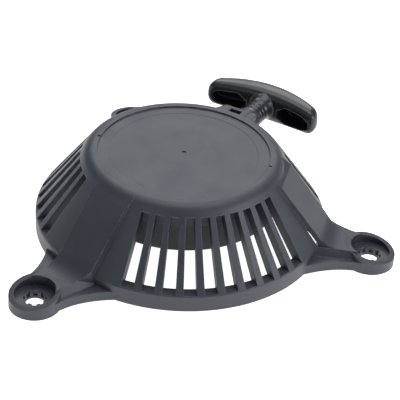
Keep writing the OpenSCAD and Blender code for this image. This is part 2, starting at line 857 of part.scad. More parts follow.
module pawl_spring(a) {
  wire = pawl_wire;
  coil_r = pivot_post_r + 0.3;
  color([0.75, 0.76, 0.78])
    rotate(a)
      translate([pivot_r, 0, pawl_high + deck_gap])
        linear_extrude(wire)
          difference() {
            union() {
              circle(r = coil_r + wire);
              // leg along the pawl
              rotate(-pawl_fold)
                translate([0, coil_r])
                  square([pin_at + 2, wire]);
              // leg against the hub
              rotate(118)
                translate([0, coil_r])
                  square([6.5, wire]);
            }
            circle(r = coil_r);
          }
}

module pawl_spring_1() {
  pawl_spring(0);
}

module pawl_spring_2() {
  pawl_spring(180);
}

// path of a pawl pin seen from the turning drive plate
function pin_track(s) =
  let (p = pawl_pin(s))
  [p[0] * cos(s) + p[1] * sin(s), -p[0] * sin(s) + p[1] * cos(s)];

module pin_slot() {
  steps = 12;
  play = 0.35;
  r = pin_r + play;
  for (i = [0:steps])
    translate(pin_track(pawl_swing * i / steps))
      circle(r = r, $fn = 32);
  inner = [for (i = [0:steps]) let (q = pin_track(pawl_swing * i / steps), u = norm(q)) q * (1 - r / u)];
  outer = [for (i = [steps:-1:0]) let (q = pin_track(pawl_swing * i / steps), u = norm(q)) q * (1 + r / u)];
  polygon(concat(inner, outer));
}

module drive_plate() {
  dish_r = 14;
  color([0.55, 0.56, 0.58])
    difference() {
      translate([0, 0, plate_low])
        cylinder(r = plate_r, h = plate_t);
      translate([0, 0, plate_low - 1])
        cylinder(r = nose_r + run_gap, h = plate_t + 2);
      // seat of the brake spring
      translate([0, 0, plate_low - 1])
        cylinder(r = brake_r + brake_wire / 2 + 0.5, h = 1.6);
      for (a = [0, 180])
        rotate(a)
          translate([0, 0, plate_low - 1])
            linear_extrude(plate_t + 2)
              pin_slot();
      // shallow ring turned into the underside
      translate([0, 0, plate_low - 1])
        difference() {
          cylinder(r = 21, h = 1.8);
          translate([0, 0, -1])
            cylinder(r = dish_r, h = 4);
        }
      for (a = [60, 120, 240, 300])
        rotate(a)
          translate([17.5, 0, plate_low - 1])
            cylinder(r = 2.4, h = plate_t + 2);
    }
}

// ---------------------------------------------------------------- brake and centre screw

brake_r = nose_r + 0.5 + brake_wire / 2;
brake_high = plate_low + 0.6 - 0.02;
washer_t = 0.8;
brake_low = nose_z + washer_t + 0.1;
head_h = 4;

module brake_washer() {
  color([0.74, 0.75, 0.77])
    translate([0, 0, nose_z + 0.03])
      difference() {
        cylinder(r = nose_r + 3.6, h = washer_t);
        translate([0, 0, -1])
          cylinder(r = nose_r + run_gap, h = 3);
      }
}

// closed tube swept along a helix
module helix_wire(r, wire_r, z0, z1, turns) {
  sides = 8;
  steps = 20;
  n = floor(turns * steps);
  points = [for (i = [0:n], j = [0:sides - 1])
    let (a = i * 360 / steps, b = j * 360 / sides, q = r + wire_r * cos(b))
    [q * cos(a), q * sin(a), z0 + (z1 - z0) * i / n + wire_r * sin(b)]];
  walls = [for (i = [0:n - 1], j = [0:sides - 1])
    let (k = (j + 1) % sides)
    [i * sides + j, (i + 1) * sides + j, (i + 1) * sides + k, i * sides + k]];
  first = [[for (j = [0:sides - 1]) j]];
  last = [[for (j = [sides - 1:-1:0]) n * sides + j]];
  polyhedron(points = points, faces = concat(walls, first, last), convexity = 6);
}

module brake_spring() {
  color([0.80, 0.81, 0.83])
    helix_wire(brake_r, brake_wire / 2, brake_low + brake_wire / 2,
               brake_high - brake_wire / 2, brake_turns);
}

module screw_washer() {
  color([0.74, 0.75, 0.77])
    translate([0, 0, nose_z - 1.2])
      difference() {
        cylinder(r = nose_r + 3.4, h = 1.2 - 0.02);
        translate([0, 0, -1])
          cylinder(r = screw_r + 0.3, h = 4);
      }
}

module centre_screw() {
  head_top = nose_z - 1.2 - 0.02;
  color([0.72, 0.73, 0.75])
    difference() {
      union() {
        translate([0, 0, head_top - head_h + 0.2])
          cylinder(r = 5.8, h = head_h - 1.2, $fn = 6);
        translate([0, 0, head_top - 1.2])
          cylinder(r = 6.4, h = 1.2);
        translate([0, 0, head_top - 0.1])
          cylinder(r = screw_r, h = 20);
      }
      translate([0, 0, head_top - head_h])
        cylinder(r = 2.4, h = 1.2);
    }
}

// ---------------------------------------------------------------- handle

// outer and inner edge of the grip seen from above, and half its height, at side distance y
function tip_share(y) = pow(abs(y) / (grip_l / 2), 2);
function grip_outer(y) = grip_far - grip_sweep * tip_share(y);
function grip_inner(y) = grip_near - grip_back * tip_share(y);
function grip_half(y) = (grip_h - grip_taper * tip_share(y)) / 2;

grip_round = 5;
grip_steps = 12;

// closed outline along the grip, between an upper edge and a lower edge, with rounded tips
function grip_loop(inset, upper, lower) =
  let (n = grip_steps, tip_y = grip_l / 2 - grip_round, far = len(upper) - 1,
       mid = (upper[far] + lower[far]) / 2, deep = (upper[far] - lower[far]) / 2 - inset,
       half = [for (i = [0:n]) [tip_y * i / n, upper[i] - inset]],
       tip = [for (i = [1:7]) let (a = i * 180 / 8)
         [tip_y + (grip_round - inset) * sin(a), mid + deep * cos(a)]],
       back = [for (i = [n:-1:0]) [tip_y * i / n, lower[i] + inset]],
       right = concat(half, tip, back))
  concat(right, [for (i = [len(right) - 2:-1:1]) [-right[i][0], right[i][1]]]);

grip_ys = [for (i = [0:grip_steps]) (grip_l / 2 - grip_round) * i / grip_steps];

// grip seen from above
module grip_plan(inset) {
  loop = grip_loop(inset, [for (y = grip_ys) grip_outer(y)], [for (y = grip_ys) grip_inner(y)]);
  polygon([for (q = loop) [q[1], q[0]]]);
}

// grip seen along the rope
module grip_front(inset) {
  polygon(grip_loop(inset, [for (y = grip_ys) grip_half(y)], [for (y = grip_ys) -grip_half(y)]));
}

module along_rope(from, to) {
  rotate([90, 0, 90])
    translate([0, 0, from])
      linear_extrude(to - from)
        children();
}

// side outline of the grip with rounded edges
module grip_section() {
  far_round = 5;
  near_round = 2;
  near = grip_near - grip_back - 1;
  h = grip_h / 2;
  polygon(concat(
    arc_points(grip_far - far_round, h - far_round, far_round, 90, 0, 6),
    arc_points(grip_far - far_round, -h + far_round, far_round, 0, -90, 6),
    arc_points(near + near_round, -h + near_round, near_round, 270, 180, 4),
    arc_points(near + near_round, h - near_round, near_round, 180, 90, 4)));
}

// opening of the hollow in one wing, narrow beside the stem
module wing_opening() {
  start = stem_r + 3.4;
  full = start + 12;
  polygon([[start, -2], [full, -grip_h / 2], [grip_l, -grip_h / 2], [grip_l, grip_h / 2],
           [full, grip_h / 2], [start, 2]]);
}

module grip() {
  color([0.13, 0.13, 0.14])
    at_exit()
      difference() {
        union() {
          intersection() {
            translate([0, 0, -grip_h / 2])
              linear_extrude(grip_h)
                grip_plan(0);
            along_rope(grip_near - grip_back - 2, grip_far + 1)
              grip_front(0);
            side_on(grip_l)
              grip_section();
          }
          // stem with rings
          rotate([0, 90, 0])
            rotate_extrude()
              polygon([[0, stem_start], [stem_r - 0.8, stem_start], [stem_r, stem_start + 0.8],
                       [stem_r, stem_start + 3], [stem_r - 0.6, stem_start + 3.6],
                       [stem_r - 0.6, stem_start + 5], [stem_r + 0.2, stem_start + 5.6],
                       [stem_r + 1.8, grip_near + 1], [stem_r + 1.8, grip_near + 6],
                       [0, grip_near + 6]]);
        }
        // hollows of the two wings, open towards the engine
        for (side = [0, 1])
          mirror([0, side, 0])
            intersection() {
              translate([0, 0, -grip_h / 2])
                linear_extrude(grip_h)
                  union() {
                    grip_plan(grip_wall);
                    translate([-grip_wall * 2, 0])
                      grip_plan(grip_wall);
                  }
              along_rope(grip_near - grip_back - 3, grip_far)
                intersection() {
                  grip_front(grip_wall);
                  wing_opening();
                }
            }
        // rope hole and knot pocket
        rotate([0, 90, 0])
          translate([0, 0, stem_start - 1])
            cylinder(r = rope_r + 0.3, h = grip_far - stem_start);
        rotate([0, 90, 0])
          translate([0, 0, knot_seat])
            cylinder(r = knot_pocket_r, h = 20);
      }
}

module grip_washer() {
  color([0.75, 0.76, 0.78])
    at_exit()
      rotate([0, 90, 0])
        translate([0, 0, knot_seat + 0.02])
          difference() {
            cylinder(r = knot_pocket_r - 0.2, h = 1.2);
            translate([0, 0, -1])
              cylinder(r = rope_r + 0.25, h = 4);
          }
}

module rope_grip_knot() {
  color([0.90, 0.90, 0.88])
    at_exit()
      translate([knot_seat + 1.3 + knot_r, 0, 0])
        rotate(180)
          knot_ball(knot_r, knot_grip);
}

// ---------------------------------------------------------------- nodes

housing();
post_insert();
guide_bush();
spring_keeper();
mainspring();
reel();
rope_winding();
rope_reel_knot();
rope_inner_run();
rope_outer_run();
pawl_1();
pawl_2();
pawl_spring_1();
pawl_spring_2();
drive_plate();
brake_washer();
brake_spring();
screw_washer();
centre_screw();
grip();
grip_washer();
rope_grip_knot();
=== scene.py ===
# %% [markdown]
# # Recoil starter
# A pull starter for a small engine: a slotted plastic bell that bolts to the engine, a rope reel with its
# spring and pawls inside, and a T-handle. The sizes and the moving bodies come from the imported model. This
# script gives each piece its real surface, rebuilds the soft and wound pieces, and sets up a plain studio.

import json
import math

import bmesh
import bpy
from mathutils import Matrix, Vector


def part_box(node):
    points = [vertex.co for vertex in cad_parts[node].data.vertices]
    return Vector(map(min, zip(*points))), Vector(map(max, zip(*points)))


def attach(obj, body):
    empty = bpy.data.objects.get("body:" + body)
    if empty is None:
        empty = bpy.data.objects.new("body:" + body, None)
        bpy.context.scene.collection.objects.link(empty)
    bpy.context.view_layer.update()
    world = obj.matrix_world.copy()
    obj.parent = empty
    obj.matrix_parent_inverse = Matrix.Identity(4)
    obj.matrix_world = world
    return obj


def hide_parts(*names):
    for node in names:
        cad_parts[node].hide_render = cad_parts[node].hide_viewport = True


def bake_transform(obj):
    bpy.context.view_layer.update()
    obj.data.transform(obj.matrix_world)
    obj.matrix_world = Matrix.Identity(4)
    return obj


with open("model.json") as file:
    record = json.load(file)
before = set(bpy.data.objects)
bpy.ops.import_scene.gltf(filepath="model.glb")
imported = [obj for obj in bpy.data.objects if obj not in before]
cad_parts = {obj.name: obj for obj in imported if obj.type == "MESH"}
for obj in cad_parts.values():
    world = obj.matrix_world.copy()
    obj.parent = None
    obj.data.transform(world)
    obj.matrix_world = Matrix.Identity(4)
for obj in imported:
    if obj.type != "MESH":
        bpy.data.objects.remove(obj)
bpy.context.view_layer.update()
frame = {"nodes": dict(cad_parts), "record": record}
MM = 0.001
for plain in list(bpy.data.materials):
    bpy.data.materials.remove(plain)
print("nodes:", len(frame["nodes"]))

# %% [markdown]
# ## The studio
# A product table is a white sweep under big soft lamps. The lamps are area lights, because a large light
# makes the broad, soft highlights that show the form of dark plastic. The floor shows white from above and
# lets the camera look through it from below, so that the underside can be seen too.

# %% Camera at the height and turn from which the object is seen
VIEW_TURN = math.radians(-62.46)
VIEW_HEIGHT = math.radians(34.04)
VIEW_DISTANCE = 0.91231
VIEW_ROLL = math.radians(3.33)
AIM_SIDE = math.radians(-0.6815)
AIM_UP = math.radians(-0.2197)
LOOK_AT = Vector((0, 0, 22 * MM))
SENSOR_WIDTH = 36
LENS = 140.35
CLIP_START, CLIP_END = 0.05, 20


def camera_axes():
    """The camera's place, and its right, up and back directions after its roll and the turn of its aim."""
    level = math.cos(VIEW_HEIGHT)
    back = Vector((math.sin(VIEW_TURN) * level, -math.cos(VIEW_TURN) * level, math.sin(VIEW_HEIGHT)))
    right = Vector((math.cos(VIEW_TURN), math.sin(VIEW_TURN), 0))
    place = LOOK_AT + back * VIEW_DISTANCE
    roll = Matrix.Rotation(VIEW_ROLL, 3, back)
    right, up = roll @ right, roll @ back.cross(right)
    side = Matrix.Rotation(AIM_SIDE, 3, up)
    right, back = side @ right, side @ back
    tilt = Matrix.Rotation(AIM_UP, 3, right)
    return place, right, tilt @ up, tilt @ back


def add_camera():
    place, right, up, back = camera_axes()
    data = bpy.data.cameras.new("camera")
    data.sensor_width = SENSOR_WIDTH
    data.lens = LENS
    data.clip_start, data.clip_end = CLIP_START, CLIP_END
    camera = bpy.data.objects.new("camera", data)
    camera.matrix_world = Matrix((right, up, back)).transposed().to_4x4()
    camera.location = place
    bpy.context.scene.collection.objects.link(camera)
    bpy.context.scene.camera = camera
    return camera


camera = add_camera()
print("camera at", tuple(round(x, 4) for x in camera.location))

# %% Lamps and ambient light
COOL = (0.93, 0.96, 1.0)
AMBIENT_TINT = (0.95, 0.97, 1.0, 1)
AMBIENT_STRENGTH = 0.27
# Each lamp has a place and a width and length in metres, and a power in watts.
LAMPS = {
    "overhead": ((0.25, 0.0, 1.3), (1.1, 0.9), 10),
    "front_left": ((-1.1, 0.35, 0.75), (0.8, 0.6), 0.8),
    "front_right": ((0.1, -1.25, 0.55), (0.8, 0.6), 8),
    "behind": ((1.25, 0.6, 0.95), (1.2, 0.7), 9),
}


def add_lamp(name, place, size, power):
    data = bpy.data.lights.new(name, "AREA")
    data.shape = "RECTANGLE"
    data.size, data.size_y = size
    data.energy = power
    data.color = COOL
    lamp = bpy.data.objects.new(name, data)
    lamp.location = place
    lamp.rotation_euler = (LOOK_AT - Vector(place)).to_track_quat("-Z", "Y").to_euler()
    bpy.context.scene.collection.objects.link(lamp)


for name, settings in LAMPS.items():
    add_lamp(name, *settings)

world = bpy.data.worlds.new("studio")
bpy.context.scene.world = world
world.use_nodes = True
background = world.node_tree.nodes["Background"]
background.inputs["Color"].default_value = AMBIENT_TINT
background.inputs["Strength"].default_value = AMBIENT_STRENGTH
bpy.context.scene.view_settings.view_transform = "Standard"

# %% Node helpers
# A material is a small tree of nodes. These helpers add a node, set its values and join it to others.


def put(tree, kind, values=None, **settings):
    """A new node; settings are its own properties, values its inputs by name or number."""
    node = tree.nodes.new(kind)
    for name, value in settings.items():
        setattr(node, name, value)
    for name, value in (values or {}).items():
        target = node.inputs[name]
        if isinstance(value, bpy.types.NodeSocket):
            tree.links.new(value, target)
        else:
            target.default_value = value
    return node


def maths(tree, operation, *values):
    return put(tree, "ShaderNodeMath", dict(enumerate(values)), operation=operation).outputs[0]


def spread(tree, value, low, high, to_low=0.0, to_high=1.0):
    """Takes the range low..high of a value to another range."""
    node = put(tree, "ShaderNodeMapRange",
               {"Value": value, "From Min": low, "From Max": high, "To Min": to_low, "To Max": to_high})
    return node.outputs["Result"]


# The Mix node has sockets for every kind of data. These are its share, its two colours and its result.
MIX_SHARE, MIX_FIRST, MIX_SECOND, MIX_RESULT = 0, 6, 7, 2


def mixed(tree, share, first, second):
    values = {MIX_SHARE: share, MIX_FIRST: first, MIX_SECOND: second}
    return put(tree, "ShaderNodeMix", values, data_type="RGBA").outputs[MIX_RESULT]


def colour(r, g, b):
    return (r, g, b, 1)


def new_group(name, inputs, outputs):
    """An empty shader node group; inputs are given as (name, kind, value) and outputs as (name, kind)."""
    group = bpy.data.node_groups.new(name, "ShaderNodeTree")
    for label, kind, value in inputs:
        group.interface.new_socket(name=label, in_out="INPUT", socket_type=kind).default_value = value
    for label, kind in outputs:
        group.interface.new_socket(name=label, in_out="OUTPUT", socket_type=kind)
    return group, group.nodes.new("NodeGroupInput"), group.nodes.new("NodeGroupOutput")


FLOAT, VECTOR = "NodeSocketFloat", "NodeSocketVector"

# %% [markdown]
# ## Effects that several materials share
# Moulded plastic has a fine, even grain from the spark-eroded mould, and edges painted paler as a painted
# highlight. Both are node groups, built once, so that every plastic piece shows the same effect at its own
# strength.

# %% Group: grain of a moulded or cast surface
NOISE_LOW, NOISE_HIGH = 0.3, 0.7
PLASTIC_GRAIN, PLASTIC_CLOUDS = 2600.0, 60.0
METAL_GRAIN, METAL_CLOUDS = 1800.0, 140.0


def grain_group():
    group, gin, out = new_group(
        "fine_grain",
        [("Scale", FLOAT, PLASTIC_GRAIN), ("Coarse Scale", FLOAT, PLASTIC_CLOUDS)],
        [("Height", FLOAT), ("Tone", FLOAT)],
    )
    at = put(group, "ShaderNodeTexCoord").outputs["Object"]
    fine = put(group, "ShaderNodeTexNoise",
               {"Vector": at, "Scale": gin.outputs["Scale"], "Detail": 2.0, "Roughness": 0.6})
    broad = put(group, "ShaderNodeTexNoise",
                {"Vector": at, "Scale": gin.outputs["Coarse Scale"], "Detail": 4.0, "Roughness": 0.55})
    group.links.new(fine.outputs["Fac"], out.inputs["Height"])
    group.links.new(spread(group, broad.outputs["Fac"], NOISE_LOW, NOISE_HIGH), out.inputs["Tone"])
    return group


GRAIN = grain_group()

# %% Group: rounded edges with a painted highlight
# The Bevel node gives the normal that a rounded edge would have. Where it leaves the real normal, there is
# an edge. EDGE_STARTS and EDGE_FULL are the cosines of the angle between the two, and noise breaks the mask
# up. The mask paints the edges paler: a painted highlight.
EDGE_STARTS, EDGE_FULL = 0.999, 0.93
BREAKUP_LOW, BREAKUP_HIGH = 0.35, 0.6
BEVEL_SAMPLES = 6


def edge_group():
    group, gin, out = new_group(
        "rounded_edges_painted_highlight",
        [("Radius", FLOAT, 0.0005), ("Breakup", FLOAT, 300.0)],
        [("Mask", FLOAT), ("Normal", VECTOR)],
    )
    rounded_normal = put(group, "ShaderNodeBevel", {"Radius": gin.outputs["Radius"]},
                         samples=BEVEL_SAMPLES).outputs["Normal"]
    flat_normal = put(group, "ShaderNodeNewGeometry").outputs["Normal"]
    same = put(group, "ShaderNodeVectorMath", {0: rounded_normal, 1: flat_normal},
               operation="DOT_PRODUCT").outputs["Value"]
    at = put(group, "ShaderNodeTexCoord").outputs["Object"]
    breakup = put(group, "ShaderNodeTexNoise", {"Vector": at, "Scale": gin.outputs["Breakup"], "Detail": 3.0})
    edge = spread(group, same, EDGE_STARTS, EDGE_FULL)
    patches = spread(group, breakup.outputs["Fac"], BREAKUP_LOW, BREAKUP_HIGH)
    group.links.new(maths(group, "MULTIPLY", edge, patches), out.inputs["Mask"])
    group.links.new(rounded_normal, out.inputs["Normal"])
    return group


EDGES = edge_group()
print("effects:", [g.name for g in bpy.data.node_groups])


# %% A material starts as one Principled shader
def new_material(name, roughness, metallic=0.0, specular=0.5):
    material = bpy.data.materials.new(name)
    material.use_nodes = True
    shader = material.node_tree.nodes["Principled BSDF"]
    shader.inputs["Roughness"].default_value = roughness
    shader.inputs["Metallic"].default_value = metallic
    shader.inputs["Specular IOR Level"].default_value = specular
    return material, material.node_tree, shader


def add_effects(tree, shader, tones, edge_highlight, scales, edge, bump_strength, bump_depth):
    """Puts both shared effects in a material: clouds between two tones, a painted edge highlight, the grain's
    bump.
    """
    grain = put(tree, "ShaderNodeGroup", {"Scale": scales[0], "Coarse Scale": scales[1]}, node_tree=GRAIN)
    edges = put(tree, "ShaderNodeGroup", {"Radius": edge}, node_tree=EDGES)
    body = mixed(tree, grain.outputs["Tone"], colour(*tones[0]), colour(*tones[1]))
    # The edges take the paler tone: a painted highlight.
    tree.links.new(mixed(tree, edges.outputs["Mask"], body, colour(*edge_highlight)), shader.inputs["Base Color"])
    bump = put(tree, "ShaderNodeBump", {"Strength": bump_strength, "Distance": bump_depth,
                                        "Height": grain.outputs["Height"], "Normal": edges.outputs["Normal"]})
    tree.links.new(bump.outputs["Normal"], shader.inputs["Normal"])
    return grain


# %% Moulded plastic and metal
PLASTIC_SWING, METAL_SWING = 0.05, 0.07
PLASTIC_BUMP, METAL_BUMP = 0.6, 0.4
METAL_EDGE, METAL_GRAIN_DEPTH, METAL_SHINE = 0.3 * MM, 0.02 * MM, 1.25


def moulded(name, dark, pale, edge_highlight, roughness, grain_depth, edge=0.5 * MM):
    """Moulded plastic: a little uneven in tone, edges painted paler as a painted highlight, with a fine
    grain.
    """
    material, tree, shader = new_material(name, roughness)
    grain = add_effects(tree, shader, (dark, pale), edge_highlight, (PLASTIC_GRAIN, PLASTIC_CLOUDS), edge,
                        PLASTIC_BUMP, grain_depth)
    rough = spread(tree, grain.outputs["Tone"], 0, 1, roughness - PLASTIC_SWING, roughness + PLASTIC_SWING)
    tree.links.new(rough, shader.inputs["Roughness"])
    return material


def metal(name, base, stain, roughness):
    """Bare or plated metal: clouded tone, fine scratches in its roughness, edges painted brighter as a
    painted highlight.
    """
    material, tree, shader = new_material(name, roughness, metallic=1.0)
    # The edge tone is the base made brighter: a painted highlight.
    bright = [min(1, METAL_SHINE * x) for x in base]
    grain = add_effects(tree, shader, (stain, base), bright, (METAL_GRAIN, METAL_CLOUDS), METAL_EDGE,
                        METAL_BUMP, METAL_GRAIN_DEPTH)
    rough = spread(tree, grain.outputs["Height"], NOISE_LOW, NOISE_HIGH,
                   roughness - METAL_SWING, roughness + METAL_SWING)
    tree.links.new(rough, shader.inputs["Roughness"])
    return material


# %% The finishes, each with its tones, its roughness and the depth of its grain
# The third tone of each plastic and of the rope is its paler edge tone: a painted highlight.
HOUSING = moulded("housing_plastic", (0.024, 0.028, 0.037), (0.031, 0.036, 0.047), (0.10, 0.11, 0.13),
                  0.47, 0.06 * MM)
GRIP = moulded("grip_plastic", (0.013, 0.0135, 0.016), (0.018, 0.0185, 0.021), (0.09, 0.092, 0.1),
               0.3, 0.01 * MM, edge=0.8 * MM)
REEL = moulded("reel_plastic", (0.03, 0.03, 0.032), (0.042, 0.042, 0.044), (0.10, 0.10, 0.10),
               0.42, 0.02 * MM)
ROPE = moulded("rope_braid", (0.62, 0.60, 0.55), (0.80, 0.79, 0.75), (0.85, 0.84, 0.8), 0.8, 0.1 * MM)
ZINC = metal("zinc_steel", (0.66, 0.67, 0.69), (0.52, 0.53, 0.54), 0.30)
PAWL = metal("pawl_steel", (0.48, 0.48, 0.49), (0.36, 0.35, 0.34), 0.42)
SPRING = metal("spring_steel", (0.30, 0.33, 0.40), (0.20, 0.21, 0.24), 0.28)
BUSH = metal("bush_steel", (0.22, 0.22, 0.23), (0.16, 0.16, 0.17), 0.34)
BRASS = metal("insert_brass", (0.74, 0.58, 0.28), (0.58, 0.42, 0.18), 0.28)
FINISHES = {m.name: m for m in (HOUSING, GRIP, REEL, ZINC, PAWL, SPRING, BUSH, BRASS, ROPE)}
print("finishes:", sorted(FINISHES))

# %% Dress the CAD nodes
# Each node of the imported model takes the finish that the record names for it.
for entry in frame["record"]["subparts"]:
    node = frame["nodes"][entry["node"]]
    node.data.materials.clear()
    node.data.materials.append(FINISHES[entry["material_slot"]])

# %% [markdown]
# ## Pieces that are rebuilt
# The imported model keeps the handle, the rope, the knots and the wire springs simple. The cells below build
# them as they are: a handle with rounded, bowed wings, a braided rope, knots, round wire and a chamfered
# screw. Each stays inside the room of the node that it replaces.

# %% Mesh helpers
BRAID_STRANDS, BRAID_LAY = 5, 6 * MM
# The angle up to which a tube is shaded smooth, and a distance that counts as none.
TUBE_SMOOTH = 60
HAIR = 0.01 * MM


def as_piece(name, bm, material, body, *nodes, smooth_angle=35):
    """Makes a piece from a bmesh, shaded smooth up to that angle, riding on a body in place of its nodes.
    With body None the piece rides on no body."""
    bmesh.ops.recalc_face_normals(bm, faces=bm.faces)
    mesh = bpy.data.meshes.new(name)
    bm.to_mesh(mesh)
    bm.free()
    mesh.shade_smooth()
    mesh.set_sharp_from_angle(angle=math.radians(smooth_angle))
    mesh.materials.append(material)
    piece = bpy.data.objects.new(name, mesh)
    bpy.context.scene.collection.objects.link(piece)
    if body:
        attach(piece, body)
    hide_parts(*nodes)
    return piece


def join_rings(bm, rings):
    """Quads between neighbouring rings of vertices, and a face on each end."""
    count = len(rings[0])
    for first, second in zip(rings, rings[1:]):
        for i in range(count):
            j = (i + 1) % count
            bm.faces.new((first[i], first[j], second[j], second[i]))
    bm.faces.new(rings[0][::-1])
    bm.faces.new(rings[-1])


def sweep(bm, points, radius, sides=16, braid=0.0, strands=BRAID_STRANDS, lay=BRAID_LAY):
    """A tube of that radius along the points; braid is the depth of the hollows between its strands."""
    points = [Vector(p) for p in points]
    side = (points[1] - points[0]).normalized().orthogonal().normalized()
    rings, length = [], 0.0
    for i, p in enumerate(points):
        ahead = points[min(i + 1, len(points) - 1)] - points[max(i - 1, 0)]
        ahead.normalize()
        side = (side - ahead * side.dot(ahead)).normalized()
        up = ahead.cross(side)
        if i:
            length += (p - points[i - 1]).length
        ring = []
        for k in range(sides):
            turn = 2 * math.pi * k / sides
            along = 2 * math.pi * length / lay
            weave = math.cos(strands * turn + along) * math.cos(strands * turn - along)
            r = radius - braid * (0.5 - 0.5 * weave)
            ring.append(bm.verts.new(p + side * (r * math.cos(turn)) + up * (r * math.sin(turn))))
        rings.append(ring)
    join_rings(bm, rings)


def turned(bm, profile, steps=64, axis=(0, 0, 1), centre=(0, 0, 0)):
    """A closed profile of (radius, height) turned fully round the axis."""
    axis = Vector(axis)
    out = axis.orthogonal().normalized()
    verts = [bm.verts.new(Vector(centre) + out * r + axis * h) for r, h in profile]
    edges = [bm.edges.new((verts[i], verts[(i + 1) % len(verts)])) for i in range(len(verts))]
    bmesh.ops.spin(bm, geom=verts + edges, cent=centre, axis=axis, angle=2 * math.pi, steps=steps,
                   use_merge=True, use_duplicate=False)


def cut_away(piece_bm, cutter_bms):
    """The first mesh less the others."""
    def temporary(bm):
        bmesh.ops.recalc_face_normals(bm, faces=bm.faces)
        mesh = bpy.data.meshes.new("temporary")
        bm.to_mesh(mesh)
        bm.free()
        obj = bpy.data.objects.new("temporary", mesh)
        bpy.context.scene.collection.objects.link(obj)
        return obj

    base = temporary(piece_bm)
    cutters = [temporary(bm) for bm in cutter_bms]
    for cutter in cutters:
        modifier = base.modifiers.new("cut", "BOOLEAN")
        modifier.operation, modifier.solver, modifier.object = "DIFFERENCE", "EXACT", cutter
    graph = bpy.context.evaluated_depsgraph_get()
    done = bmesh.new()
    done.from_mesh(base.evaluated_get(graph).to_mesh())
    for obj in [base] + cutters:
        mesh = obj.data
        bpy.data.objects.remove(obj)
        bpy.data.meshes.remove(mesh)
    return done


# %% [markdown]
# ## The handle
# The grip is one bowed bar, thick in the middle and lower at its rounded tips. Both faces sweep back
# towards the engine. Each wing is hollow from the engine's side, and the opening narrows beside the stem.
# The stem has rings and carries the rope through its middle to the knot in the outer face.

# %% Sizes of the handle, from its node's box
grip_low, grip_high = (Vector(corner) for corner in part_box("grip"))
GRIP_FAR = grip_high.x
GRIP_HALF_LENGTH = grip_high.y
GRIP_MIDDLE_Z = (grip_low.z + grip_high.z) / 2
GRIP_HALF_HEIGHT = grip_high.z - GRIP_MIDDLE_Z
STEM_START = grip_low.x
GRIP_DEPTH = 17 * MM
GRIP_NEAR = GRIP_FAR - GRIP_DEPTH
OUTER_SWEEP, INNER_SWEEP, TIP_DROP = 11 * MM, 4.5 * MM, 3 * MM
GRIP_WALL = 2.6 * MM
FACE_WALL = 1.5 * GRIP_WALL
STEM_RADIUS = 7.2 * MM
ROPE_RADIUS = 2 * MM
STEM_BORE = ROPE_RADIUS + 0.3 * MM
KNOT_SEAT = GRIP_FAR - 9 * MM
KNOT_POCKET = 5 * MM

# %% How the bar and its hollows are rounded
# A higher squareness makes a section that is nearer to a rectangle. The bar's rings crowd towards its tips,
# where it closes over the last TIP_ROUND.
SECTION_SIDES = 40
BAR_STEPS, BAR_SQUARENESS = 48, 3.2
TIP_ROUND, TIP_SQUARENESS, TIP_CROWDING, TIP_LEAST = 6 * MM, 2.3, 0.985, 0.02
HOLLOW_STEPS, HOLLOW_SQUARENESS = 24, 7
HOLLOW_DROP = 1.2 * MM
HOLLOW_FROM_STEM, HOLLOW_FROM_TIP, HOLLOW_PAST_FACE = 3.4 * MM, 1.4 * MM, 6 * MM
HOLLOW_START, HOLLOW_GROWTH = 2.2 * MM, 0.62
HOLLOW_ROUND, HOLLOW_END_DROP, HOLLOW_END_LEAST = 6 * MM, 0.8, 0.05


def tip_share(y):
    return (y / GRIP_HALF_LENGTH) ** 2


def rounded(angle, power):
    """A point on a rounded square of half width 1."""
    c, s = math.cos(angle), math.sin(angle)
    return (math.copysign(abs(c) ** (2 / power), c), math.copysign(abs(s) ** (2 / power), s))


def wing_section(bm, y, near, far, half_height, power, drop=0.0):
    middle, half_depth = (near + far) / 2, (far - near) / 2
    ring = []
    for k in range(SECTION_SIDES):
        u, v = rounded(2 * math.pi * k / SECTION_SIDES, power)
        ring.append(bm.verts.new((middle + half_depth * u, y, GRIP_MIDDLE_Z - drop + half_height * v)))
    return ring


def grip_bar():
    bm = bmesh.new()
    rings = []
    for i in range(BAR_STEPS + 1):
        share = math.sin(math.pi / 2 * (2 * i / BAR_STEPS - 1) * TIP_CROWDING)
        y = GRIP_HALF_LENGTH * share / math.sin(math.pi / 2 * TIP_CROWDING)
        far = GRIP_FAR - OUTER_SWEEP * tip_share(y)
        near = GRIP_NEAR - INNER_SWEEP * tip_share(y)
        half_height = GRIP_HALF_HEIGHT - TIP_DROP * tip_share(y)
        past = max(0.0, (abs(y) - GRIP_HALF_LENGTH + TIP_ROUND) / TIP_ROUND)
        shrink = max(TIP_LEAST, (1 - min(1.0, past) ** TIP_SQUARENESS)) ** (1 / TIP_SQUARENESS)
        middle, depth = (near + far) / 2, (far - near) / 2 * shrink
        near, far = middle - depth, middle + depth
        rings.append(wing_section(bm, y, near, far, half_height * shrink, BAR_SQUARENESS))
    join_rings(bm, rings)
    return bm


def wing_hollow(side):
    """The room that is cut out of one wing."""
    bm = bmesh.new()
    start, end = STEM_RADIUS + HOLLOW_FROM_STEM, GRIP_HALF_LENGTH - GRIP_WALL - HOLLOW_FROM_TIP
    rings = []
    for i in range(HOLLOW_STEPS + 1):
        y = start + (end - start) * (1 - math.cos(math.pi * i / HOLLOW_STEPS)) / 2
        far = GRIP_FAR - OUTER_SWEEP * tip_share(y) - FACE_WALL
        near = GRIP_NEAR - INNER_SWEEP * tip_share(y) - HOLLOW_PAST_FACE
        full = GRIP_HALF_HEIGHT - TIP_DROP * tip_share(y) - GRIP_WALL - HOLLOW_DROP
        past = max(0.0, (y - end + HOLLOW_ROUND) / HOLLOW_ROUND)
        shrink = math.sqrt(max(HOLLOW_END_LEAST, 1 - past ** 2 * HOLLOW_END_DROP))
        half_height = min(full, HOLLOW_START + (y - start) * HOLLOW_GROWTH) * shrink
        rings.append(wing_section(bm, side * y, near, far, half_height, HOLLOW_SQUARENESS, drop=HOLLOW_DROP))
    join_rings(bm, rings)
    return bm


